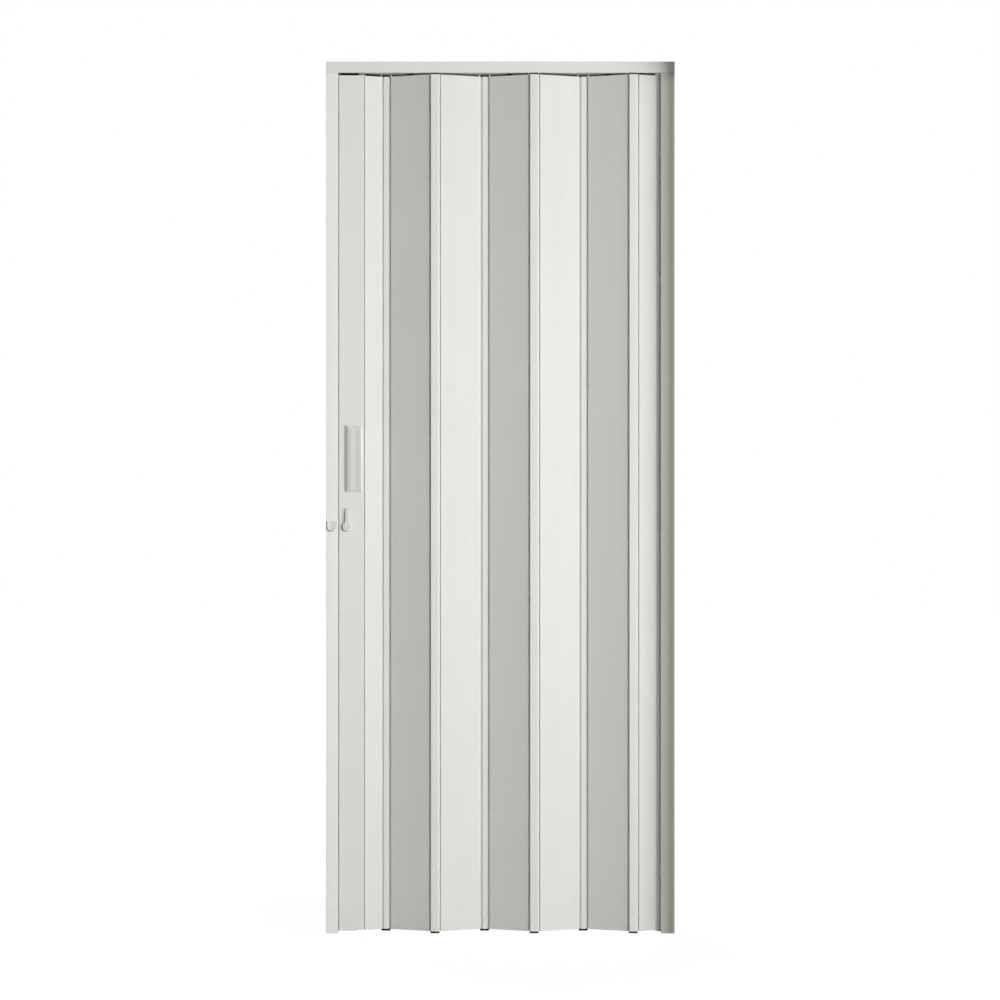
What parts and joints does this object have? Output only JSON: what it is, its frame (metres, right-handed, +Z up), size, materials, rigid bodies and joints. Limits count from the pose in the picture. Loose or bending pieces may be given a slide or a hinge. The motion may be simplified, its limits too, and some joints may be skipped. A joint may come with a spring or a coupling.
{
  "type": "accordion door",
  "caption": "White folding accordion door that hangs in a top track between two wall jambs, with handle and drop latch.",
  "frame": {"origin": "floor level, at the middle of the width, on the top track's centre plane", "axes": "+Z up; +X towards the fixed wall jamb; the front, with the latch, faces -Y"},
  "size_m": [0.82, 0.0466, 2.05],
  "materials": {
    "white_pvc": "satin extruded plastic",
    "white_trim": "satin extruded and moulded plastic",
    "black_plastic": "moulded, slightly grained",
    "grey_pile": "short woven pile strip",
    "zinc_steel": "zinc plated"
  },
  "bodies": {
    "frame": {"top_track": "white_trim", "strike_jamb": "white_trim", "wall_jamb": "white_trim", "end_profile": "white_pvc", "latch_keeper": "white_trim"},
    "panel_7": {"panel_7": "white_pvc", "panel_plug_7": "black_plastic"},
    "hinge_post_6": {"hinge_post_6": "white_pvc", "hinge_cap_top_6": "black_plastic", "hinge_cap_bottom_6": "black_plastic"},
    "panel_6": {"panel_6": "white_pvc", "runner_insert_6": "black_plastic", "runner_6": "black_plastic", "top_seal_6_left": "grey_pile", "top_seal_6_right": "grey_pile"},
    "hinge_post_5": {"hinge_post_5": "white_pvc", "hinge_cap_top_5": "black_plastic", "hinge_cap_bottom_5": "black_plastic"},
    "panel_5": {"panel_5": "white_pvc", "top_seal_5": "grey_pile"},
    "hinge_post_4": {"hinge_post_4": "white_pvc", "hinge_cap_top_4": "black_plastic", "hinge_cap_bottom_4": "black_plastic"},
    "panel_4": {"panel_4": "white_pvc", "runner_insert_4": "black_plastic", "runner_4": "black_plastic", "top_seal_4_left": "grey_pile", "top_seal_4_right": "grey_pile"},
    "hinge_post_3": {"hinge_post_3": "white_pvc", "hinge_cap_top_3": "black_plastic", "hinge_cap_bottom_3": "black_plastic"},
    "panel_3": {"panel_3": "white_pvc", "top_seal_3": "grey_pile"},
    "hinge_post_2": {"hinge_post_2": "white_pvc", "hinge_cap_top_2": "black_plastic", "hinge_cap_bottom_2": "black_plastic"},
    "panel_2": {"panel_2": "white_pvc", "runner_insert_2": "black_plastic", "runner_2": "black_plastic", "top_seal_2_left": "grey_pile", "top_seal_2_right": "grey_pile"},
    "hinge_post_1": {"hinge_post_1": "white_pvc", "hinge_cap_top_1": "black_plastic", "hinge_cap_bottom_1": "black_plastic"},
    "panel_1": {"panel_1": "white_pvc", "panel_plug_1": "black_plastic"},
    "lead_post": {"lead_post": "white_pvc", "lead_post_foot": "white_pvc", "lead_hanger": "black_plastic", "lead_runner_1": "black_plastic", "lead_runner_2": "black_plastic", "handle_front": "white_trim", "handle_back": "white_trim", "handle_screw_lower": "zinc_steel", "handle_screw_upper": "zinc_steel", "latch_retainer": "zinc_steel"},
    "latch_lever": {"latch_lever": "white_trim"}
  },
  "joints": [
    {"name": "panel_7_fold", "type": "hinge", "parent": "frame", "child": "panel_7", "pos_m": [0.3708, 0, 0], "axis": [0, 0, 1], "range_deg": [0, 65]},
    {"name": "hinge_post_6_turn", "type": "hinge", "parent": "panel_7", "child": "hinge_post_6", "pos_m": [0.31852, -0.01401, 0], "axis": [0, 0, 1], "range_deg": [-65, 0]},
    {"name": "panel_6_fold", "type": "hinge", "parent": "hinge_post_6", "child": "panel_6", "pos_m": [0.30652, -0.01401, 0], "axis": [0, 0, 1], "range_deg": [-65, 0]},
    {"name": "hinge_post_5_turn", "type": "hinge", "parent": "panel_6", "child": "hinge_post_5", "pos_m": [0.20195, 0.01401, 0], "axis": [0, 0, 1], "range_deg": [0, 65]},
    {"name": "panel_5_fold", "type": "hinge", "parent": "hinge_post_5", "child": "panel_5", "pos_m": [0.18995, 0.01401, 0], "axis": [0, 0, 1], "range_deg": [0, 65]},
    {"name": "hinge_post_4_turn", "type": "hinge", "parent": "panel_5", "child": "hinge_post_4", "pos_m": [0.08538, -0.01401, 0], "axis": [0, 0, 1], "range_deg": [-65, 0]},
    {"name": "panel_4_fold", "type": "hinge", "parent": "hinge_post_4", "child": "panel_4", "pos_m": [0.07338, -0.01401, 0], "axis": [0, 0, 1], "range_deg": [-65, 0]},
    {"name": "hinge_post_3_turn", "type": "hinge", "parent": "panel_4", "child": "hinge_post_3", "pos_m": [-0.03118, 0.01401, 0], "axis": [0, 0, 1], "range_deg": [0, 65]},
    {"name": "panel_3_fold", "type": "hinge", "parent": "hinge_post_3", "child": "panel_3", "pos_m": [-0.04318, 0.01401, 0], "axis": [0, 0, 1], "range_deg": [0, 65]},
    {"name": "hinge_post_2_turn", "type": "hinge", "parent": "panel_3", "child": "hinge_post_2", "pos_m": [-0.14775, -0.01401, 0], "axis": [0, 0, 1], "range_deg": [-65, 0]},
    {"name": "panel_2_fold", "type": "hinge", "parent": "hinge_post_2", "child": "panel_2", "pos_m": [-0.15975, -0.01401, 0], "axis": [0, 0, 1], "range_deg": [-65, 0]},
    {"name": "hinge_post_1_turn", "type": "hinge", "parent": "panel_2", "child": "hinge_post_1", "pos_m": [-0.26432, 0.01401, 0], "axis": [0, 0, 1], "range_deg": [0, 65]},
    {"name": "panel_1_fold", "type": "hinge", "parent": "hinge_post_1", "child": "panel_1", "pos_m": [-0.27632, 0.01401, 0], "axis": [0, 0, 1], "range_deg": [0, 65]},
    {"name": "lead_post_turn", "type": "hinge", "parent": "panel_1", "child": "lead_post", "pos_m": [-0.3286, 0, 0], "axis": [0, 0, 1], "range_deg": [-65, 0]},
    {"name": "latch_swing", "type": "hinge", "parent": "lead_post", "child": "latch_lever", "pos_m": [-0.3603, 0, 0.9565], "axis": [0, -1, 0], "range_deg": [0, 90]}
  ],
  "couplings": [
    {"joint": "hinge_post_6_turn", "follows": "panel_7_fold", "ratio": -1},
    {"joint": "panel_6_fold", "follows": "panel_7_fold", "ratio": -1},
    {"joint": "hinge_post_5_turn", "follows": "panel_7_fold", "ratio": 1},
    {"joint": "panel_5_fold", "follows": "panel_7_fold", "ratio": 1},
    {"joint": "hinge_post_4_turn", "follows": "panel_7_fold", "ratio": -1},
    {"joint": "panel_4_fold", "follows": "panel_7_fold", "ratio": -1},
    {"joint": "hinge_post_3_turn", "follows": "panel_7_fold", "ratio": 1},
    {"joint": "panel_3_fold", "follows": "panel_7_fold", "ratio": 1},
    {"joint": "hinge_post_2_turn", "follows": "panel_7_fold", "ratio": -1},
    {"joint": "panel_2_fold", "follows": "panel_7_fold", "ratio": -1},
    {"joint": "hinge_post_1_turn", "follows": "panel_7_fold", "ratio": 1},
    {"joint": "panel_1_fold", "follows": "panel_7_fold", "ratio": 1},
    {"joint": "lead_post_turn", "follows": "panel_7_fold", "ratio": -1}
  ]
}
